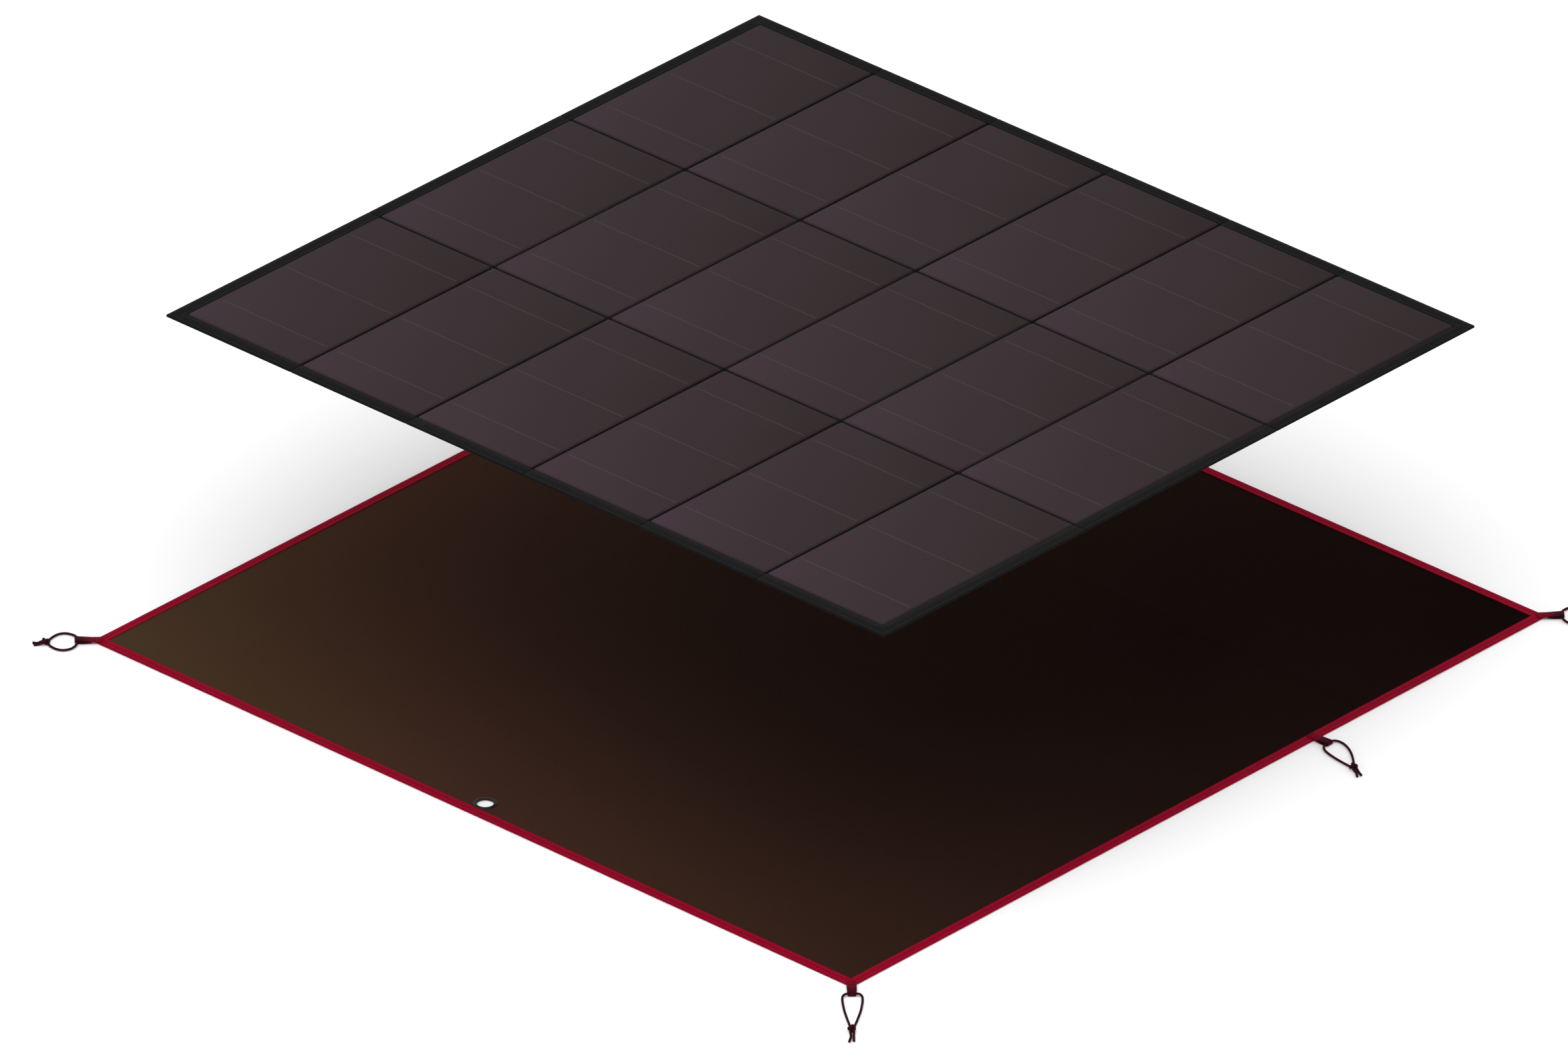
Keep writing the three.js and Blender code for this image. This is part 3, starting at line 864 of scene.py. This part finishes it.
coated = Finish("black_coated_cloth", Roughness=0.7, Specular_IOR_Level=0.04)
spot = coated.place()
x, y, _ = coated.axes(spot)
weft = (x * (math.pi / WEFT)).sin() * (y * (math.pi / WEFT)).sin()
fleck = coated.speckle(spot, 500, 3)
scuffs = coated.speckle(spot, 18, 5, 0.6).rise(0.55, 0.8)
from_x = abs(array_low_x) - abs(x)
from_y = abs(array_high_y) - abs(y)
nearer_x = from_x < from_y
inward = from_x.smallest(from_y)
run = nearer_x * y + (1 - nearer_x) * x
stitches = stitched_rows(run, inward, HEM_ROWS) * (inward < HEM)
outer_groove, inner_groove = (abs(inward - place) < GROOVE_HALF for place in HEM_ROWS)
groove = outer_groove.largest(inner_groove)
share = (fleck * 0.6 + weft * 0.2).held()
coated_color = coated.blend(share, (0.0035, 0.0033, 0.0035), (0.0085, 0.0080, 0.0085))
coated_color = coated.blend((stitches * 0.8 + scuffs * 0.12).held(), coated_color, (0.022, 0.021, 0.022))
cloth_height = weft * 0.2 + fleck * 0.2 - groove * 0.5 + stitches * 0.8
coated.paint(coated_color, 0.62 + fleck * 0.22, cloth_height, relief=0.0003)

for row in range(1, ROWS + 1):
    for column in COLUMNS:
        label = column + "_" + str(row)
        section = softened(
            "carrier_" + label, "carrier_cloth_" + label, coated.material, CARRIER_ROUNDING
        )
        low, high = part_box("carrier_" + label)
        bpy.ops.object.mode_set(mode="EDIT")
        for axis, size in ((0, high.x - low.x), (1, high.y - low.y)):
            cuts = round(size / CARRIER_CELL)
            for cut in range(1, cuts):
                across = [0, 0, 0]
                across[axis] = 1
                middle = list(low)
                middle[axis] = low[axis] + size * cut / cuts
                bpy.ops.mesh.select_all(action="SELECT")
                bpy.ops.mesh.bisect(plane_co=middle, plane_no=across)
        bpy.ops.object.mode_set(mode="OBJECT")
        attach(section, "panel_" + label)
        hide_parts("carrier_" + label)

# ---------------------------------------------------------------------------------------------
# Seams: the sections are one run of cloth, so a strip of it joins each pair across the fold. It
# lies between the laminates.
SEAM = 0.005
STRIP_THICKNESS = 0.0004
STRIP_HALF = SEAM / 2 - 0.0003
STRIP_CUTS = 24
STRIP_CROWN = 0.0003
carrier_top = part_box("carrier_mid_2")[1].z


def seam_strip(name, middle, length, crosses_x):
    """A flat strip over a slit. It bends along X if crosses_x, or along Y."""
    cuts_x, cuts_y = (STRIP_CUTS, 4) if crosses_x else (4, STRIP_CUTS)
    bpy.ops.mesh.primitive_grid_add(x_subdivisions=cuts_x, y_subdivisions=cuts_y, size=1)
    strip = bpy.context.object
    strip.scale = (2 * STRIP_HALF, length, 1) if crosses_x else (length, 2 * STRIP_HALF, 1)
    strip.location = (middle[0], middle[1], carrier_top + STRIP_THICKNESS)
    settle(strip, name, coated.material)
    for vertex in strip.data.vertices:
        off = (vertex.co.x - middle[0]) if crosses_x else (vertex.co.y - middle[1])
        vertex.co.z += STRIP_CROWN * (1 - (off / STRIP_HALF) ** 2)
    apply_modifier(strip, "SOLIDIFY", thickness=STRIP_THICKNESS, offset=0)
    bpy.ops.object.shade_smooth_by_angle(angle=math.radians(50))
    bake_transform(strip)


for row in range(1, ROWS):
    seam_strip(
        "row_seam_" + str(row), ((row - ROWS / 2) * PITCH_X, 0), PITCH_Y - SEAM, True,
    )
for row in range(1, ROWS + 1):
    middle_x = (row - (ROWS + 1) / 2) * PITCH_X
    seam_strip(
        "near_seam_" + str(row), (middle_x, -PITCH_Y / 2), PITCH_X - SEAM, False,
    )
    seam_strip(
        "far_seam_" + str(row), (middle_x, PITCH_Y / 2), PITCH_X - SEAM, False,
    )

# ---------------------------------------------------------------------------------------------
# Laminates: thin-film cells on foil, sealed between clear satin films with a narrow border. They
# read as purplish brown that deepens towards one corner, crossed by fine laser scribes.
FILM_BORDER = 0.003
FILM_STEP = 0.0003
RAISED = 0.0003
CORNER_RADIUS = 0.004
SCRIBE = 0.0085
lam_low, lam_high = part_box("laminate_mid_1")
lam_size = lam_high - lam_low

thin_film = Finish("thin_film_cells", Roughness=0.4, Specular_IOR_Level=0.03)
spot = thin_film.place()
x, y, _ = thin_film.axes(spot)
along_row = (x / PITCH_X).fract()
along_column = (y / PITCH_Y + 0.5).fract()
fade = (along_row * 0.55 + along_column * 0.45).held()
cloud = thin_film.speckle(spot, 9, 3, 0.5)
cell_color = thin_film.node("ShaderNodeValToRGB", {"stops": [
    (0.0, (0.034, 0.0190, 0.0290)),
    (0.15, (0.029, 0.0170, 0.0215)),
    (0.6, (0.0215, 0.0125, 0.0150)),
    (1.0, (0.0150, 0.0075, 0.0075)),
]}, fade + cloud * 0.08 - 0.04)
scribe = abs((along_row * (PITCH_X / SCRIBE)).fract() - 0.5) > 0.47
ribbon_place = abs((along_column * 3).fract() - 0.5)
ribbon = (ribbon_place < 0.006) * (abs(along_row - 0.5) < 0.46)
border = ((0.5 - abs(along_row - 0.5)) * PITCH_X).smallest((0.5 - abs(along_column - 0.5)) * PITCH_Y)
at_border = border < (SEAM / 2 + FILM_BORDER)
cell_color = thin_film.blend(scribe * 0.22, cell_color, (0.010, 0.006, 0.007))
cell_color = thin_film.blend(ribbon * 0.28, cell_color, (0.085, 0.070, 0.072))
cell_color = thin_film.blend(at_border * 0.18, cell_color, (0.010, 0.007, 0.008))
grain = thin_film.speckle(spot, 1500, 1)
film_height = grain * 0.12 - scribe * 0.25 + ribbon * 0.3
thin_film.paint(cell_color, 0.30 + cloud * 0.08 + grain * 0.06, film_height, relief=0.00012)

bpy.ops.mesh.primitive_grid_add(x_subdivisions=14, y_subdivisions=24, size=1)
laminate = bpy.context.object
laminate.scale = (lam_size.x, lam_size.y, 1)
laminate.location = (0, 0, lam_high.z - RAISED)
settle(laminate, "laminate", thin_film.material)


def at_corner(vertex):
    at_side = abs(vertex.co.x) > lam_size.x / 2 - 0.0001
    return at_side and abs(vertex.co.y) > lam_size.y / 2 - 0.0001


choose(laminate, "VERT", at_corner)
bpy.ops.mesh.bevel(offset=CORNER_RADIUS, segments=5, affect="VERTICES")
bpy.ops.mesh.select_all(action="SELECT")
bpy.ops.mesh.inset(thickness=FILM_BORDER)
bpy.ops.mesh.inset(thickness=FILM_STEP)
bpy.ops.transform.translate(value=(0, 0, RAISED))
bpy.ops.object.mode_set(mode="OBJECT")
apply_modifier(laminate, "SOLIDIFY", thickness=lam_size.z - RAISED, offset=-1)
limit = math.radians(50)
apply_modifier(laminate, "BEVEL", width=0.0003, segments=2, limit_method="ANGLE", angle_limit=limit)
bpy.ops.object.shade_smooth_by_angle(angle=math.radians(30))
for row in range(1, ROWS + 1):
    for number, column in enumerate(COLUMNS):
        label = column + "_" + str(row)
        move = ((row - (ROWS + 1) / 2) * PITCH_X, (number - 1) * PITCH_Y, 0)
        film = placed_copy(laminate, Matrix.Translation(move))
        film.name = "solar_laminate_" + label
        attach(film, "panel_" + label)
        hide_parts("laminate_" + label)
bpy.data.objects.remove(laminate)

# ---------------------------------------------------------------------------------------------
# Junction box: a moulded black tray with its mouth down, a screwed lid, the grey terminal block
# inside it and the ribbed gland nut that the output lead leaves by.
moulded = Finish("moulded_black", Roughness=0.5)
spot = moulded.place()
spark = moulded.speckle(spot, 1800, 2)
wear = moulded.speckle(spot, 60, 4).rise(0.6, 0.8)
moulded_color = moulded.blend(wear * 0.3, (0.012, 0.012, 0.013), (0.030, 0.030, 0.032))
moulded.paint(moulded_color, 0.45 + spark * 0.2, spark, relief=0.0001)
moulded_grey = Finish("moulded_grey", Roughness=0.55)
spark = moulded_grey.speckle(moulded_grey.place(), 1500, 2)
grey_color = moulded_grey.blend(spark, (0.030, 0.036, 0.042), (0.045, 0.052, 0.060))
moulded_grey.paint(grey_color, 0.5 + spark * 0.1, spark, relief=0.0001)
BOX_PIECES = {
    "junction_box_tray": ("box_shell", moulded, 0.0008, "box_plastic"),
    "junction_box_lid": ("box_cover", moulded, 0.0007, "box_plastic"),
    "terminal_block": ("terminals", moulded_grey, 0.0006, "terminal_plastic"),
    "output_gland": ("gland_nut", moulded, 0.0003, "box_plastic"),
}
for node, (name, finish, rounding, slot_name) in BOX_PIECES.items():
    piece = softened(node, name, finish.material, rounding)
    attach(piece, "panel_mid_1")
    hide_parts(node)

steel = Finish("screw_steel", Metallic=0.9, Roughness=0.35)
spark = steel.speckle(steel.place(), 2500, 2)
steel_color = steel.blend(spark, (0.30, 0.30, 0.31), (0.45, 0.45, 0.46))
steel.paint(steel_color, 0.3 + spark * 0.15, spark, relief=0.00005)
lid_low, lid_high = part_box("junction_box_lid")
SCREW_INSET = 0.007
SCREW_R = 0.0026
SCREW_HEIGHT = 0.0014
SOCKET_RIM = 0.0012
SOCKET_DEPTH = 0.0007
screw_places = []
for px in (lid_low.x + SCREW_INSET, lid_high.x - SCREW_INSET):
    for py in (lid_low.y + SCREW_INSET, lid_high.y - SCREW_INSET):
        screw_places.append((px, py, lid_low.z - 0.0004))
for number, screw_place in enumerate(screw_places):
    bpy.ops.mesh.primitive_cylinder_add(
        vertices=24, radius=SCREW_R, depth=SCREW_HEIGHT, location=screw_place
    )
    screw = bpy.context.object
    settle(screw, "box_screw_" + str(number + 1), steel.material)
    choose(screw, "FACE", lambda face: face.normal.z < -0.9)
    bpy.ops.mesh.inset(thickness=SOCKET_RIM)
    bpy.ops.transform.translate(value=(0, 0, SOCKET_DEPTH))
    bpy.ops.object.mode_set(mode="OBJECT")
    apply_modifier(screw, "BEVEL", width=0.0002, segments=2, limit_method="ANGLE", angle_limit=SMOOTH_ANGLE)
    bpy.ops.object.shade_smooth_by_angle(angle=SMOOTH_ANGLE)
    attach(screw, "panel_mid_1")
